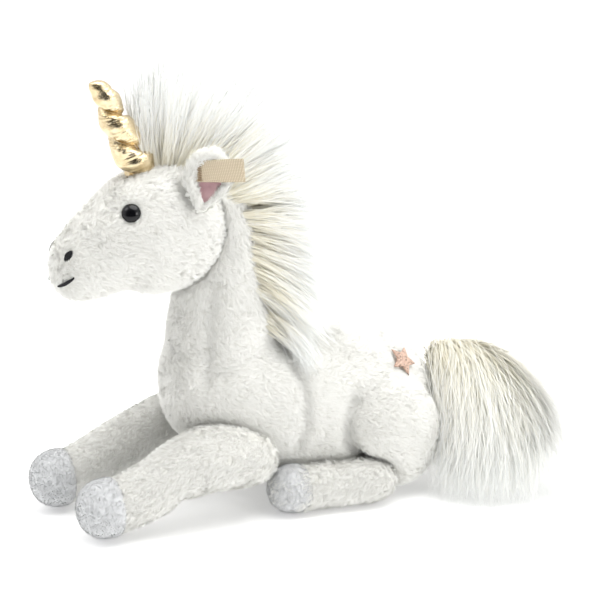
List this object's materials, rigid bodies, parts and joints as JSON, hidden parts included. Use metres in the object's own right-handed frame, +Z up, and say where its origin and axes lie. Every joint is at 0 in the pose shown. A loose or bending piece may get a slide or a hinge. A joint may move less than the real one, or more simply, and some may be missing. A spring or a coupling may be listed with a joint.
{
  "type": "plush unicorn",
  "caption": "Soft stuffed unicorn lying down with forelegs stretched out, gold fabric horn, long white mane and tail, velour hooves and a glitter star on its rump.",
  "frame": {"origin": "centre of the flat belly panel's underside, on the plane of symmetry, where the toy rests on the floor", "axes": "+Z up, -Y towards the nose, +X towards the toy's own left side"},
  "size_m": [0.1313, 0.2902, 0.246],
  "materials": {
    "plush": "short dense white plush pile, slightly clumped",
    "belly_cloth": "short pale grey velour",
    "hoof_velour": "smooth short pale grey velour",
    "fibrefill": "white polyester fibre filling",
    "long_hair": "long silky fibre, cream at the root and white at the tip",
    "tape_weave": "woven cream tape that carries the hair",
    "gold_lame": "crinkled metallic gold cloth",
    "pink_velour": "dusty pink velour",
    "star_glitter": "rose gold glitter cloth",
    "label_ribbon": "plain woven oatmeal ribbon",
    "tack_thread": "brown sewing thread",
    "white_thread": "white sewing thread",
    "face_thread": "black satin stitch",
    "eye_black": "glossy black moulded eye",
    "washer_plastic": "white locking washer"
  },
  "bodies": {
    "torso": {"trunk_cover": "plush", "trunk_stuffing": "fibrefill", "belly_panel": "belly_cloth", "star_patch": "star_glitter", "mane_tape": "tape_weave", "mane_hair": "long_hair", "thigh_cover_left": "plush", "thigh_stuffing_left": "fibrefill", "thigh_cover_right": "plush", "thigh_stuffing_right": "fibrefill"},
    "throat": {"throat_thread": "white_thread"},
    "head": {"head_cover": "plush", "head_stuffing": "fibrefill", "forelock_hair": "long_hair", "eye_left": "eye_black", "eye_washer_left": "washer_plastic", "nostril_stitch_left": "face_thread", "mouth_stitch_left": "face_thread", "eye_right": "eye_black", "eye_washer_right": "washer_plastic", "nostril_stitch_right": "face_thread", "mouth_stitch_right": "face_thread"},
    "horn": {"horn_cover": "gold_lame", "horn_stuffing": "fibrefill"},
    "ear_left": {"ear_back_left": "plush", "ear_lining_left": "pink_velour"},
    "ear_right": {"ear_back_right": "plush", "ear_lining_right": "pink_velour"},
    "label": {"ear_label": "label_ribbon", "label_tack": "tack_thread"},
    "tail_seam": {"tail_thread": "white_thread"},
    "tail": {"tail_core": "tape_weave", "tail_hair": "long_hair"},
    "foreleg_upper_left": {"foreleg_upper_cover_left": "plush", "foreleg_upper_stuffing_left": "fibrefill"},
    "foreleg_lower_left": {"foreleg_lower_cover_left": "plush", "foreleg_lower_stuffing_left": "fibrefill", "fore_hoof_left": "hoof_velour"},
    "hind_leg_left": {"hind_shank_cover_left": "plush", "hind_shank_stuffing_left": "fibrefill", "hind_hoof_left": "hoof_velour"},
    "foreleg_upper_right": {"foreleg_upper_cover_right": "plush", "foreleg_upper_stuffing_right": "fibrefill"},
    "foreleg_lower_right": {"foreleg_lower_cover_right": "plush", "foreleg_lower_stuffing_right": "fibrefill", "fore_hoof_right": "hoof_velour"},
    "hind_leg_right": {"hind_shank_cover_right": "plush", "hind_shank_stuffing_right": "fibrefill", "hind_hoof_right": "hoof_velour"}
  },
  "joints": [
    {"name": "head_turn", "type": "hinge", "parent": "torso", "child": "throat", "pos_m": [0, -0.084, 0.158], "axis": [0, 0, 1], "range_deg": [-12, 12], "stiffness_Nm_per_rad": 0.25, "deforming": ["forelock_hair"]},
    {"name": "head_nod", "type": "hinge", "parent": "throat", "child": "head", "pos_m": [0, -0.084, 0.158], "axis": [1, 0, 0], "range_deg": [-10, 12], "stiffness_Nm_per_rad": 0.4, "deforming": ["forelock_hair"]},
    {"name": "horn_bend", "type": "hinge", "parent": "head", "child": "horn", "pos_m": [0, -0.0934, 0.1932], "axis": [1, 0, 0], "range_deg": [-8, 8], "stiffness_Nm_per_rad": 0.02},
    {"name": "ear_fold_left", "type": "hinge", "parent": "head", "child": "ear_left", "pos_m": [0.0285, -0.069, 0.17], "axis": [0.601, 0.7659, -0.2286], "range_deg": [0, 30], "stiffness_Nm_per_rad": 0.01},
    {"name": "ear_fold_right", "type": "hinge", "parent": "head", "child": "ear_right", "pos_m": [-0.0285, -0.069, 0.17], "axis": [0.601, -0.7659, 0.2286], "range_deg": [0, 30], "stiffness_Nm_per_rad": 0.01},
    {"name": "label_swing", "type": "hinge", "parent": "ear_left", "child": "label", "pos_m": [0.03324, -0.06494, 0.19168], "axis": [-0.01, -0.2788, -0.9603], "range_deg": [0, 20], "stiffness_Nm_per_rad": 0.0005},
    {"name": "foreleg_splay_left", "type": "hinge", "parent": "torso", "child": "foreleg_upper_left", "pos_m": [0.033, -0.027, 0.034], "axis": [0, 0, 1], "range_deg": [0, 18], "stiffness_Nm_per_rad": 0.2},
    {"name": "knee_lift_left", "type": "hinge", "parent": "foreleg_upper_left", "child": "foreleg_lower_left", "pos_m": [0.029, -0.086, 0.051], "axis": [-1, 0, 0], "range_deg": [0, 22], "stiffness_Nm_per_rad": 0.1, "springref_deg": -8.59},
    {"name": "hind_splay_left", "type": "hinge", "parent": "torso", "child": "hind_leg_left", "pos_m": [0.045, 0.037, 0.0132], "axis": [0, 0, 1], "range_deg": [0, 15], "stiffness_Nm_per_rad": 0.1},
    {"name": "foreleg_splay_right", "type": "hinge", "parent": "torso", "child": "foreleg_upper_right", "pos_m": [-0.033, -0.027, 0.034], "axis": [0, 0, -1], "range_deg": [0, 18], "stiffness_Nm_per_rad": 0.2},
    {"name": "knee_lift_right", "type": "hinge", "parent": "foreleg_upper_right", "child": "foreleg_lower_right", "pos_m": [-0.029, -0.086, 0.051], "axis": [-1, 0, 0], "range_deg": [0, 22], "stiffness_Nm_per_rad": 0.1, "springref_deg": -8.59},
    {"name": "hind_splay_right", "type": "hinge", "parent": "torso", "child": "hind_leg_right", "pos_m": [-0.045, 0.037, 0.0132], "axis": [0, 0, -1], "range_deg": [0, 15], "stiffness_Nm_per_rad": 0.1},
    {"name": "tail_swing", "type": "hinge", "parent": "torso", "child": "tail_seam", "pos_m": [0, 0.085, 0.0605], "axis": [0, 0, 1], "range_deg": [0, 30], "stiffness_Nm_per_rad": 0.1},
    {"name": "tail_lift", "type": "hinge", "parent": "tail_seam", "child": "tail", "pos_m": [0, 0.085, 0.0605], "axis": [0.3312, -0.9435, 0], "range_deg": [0, 35], "stiffness_Nm_per_rad": 0.1, "springref_deg": -17.19}
  ]
}
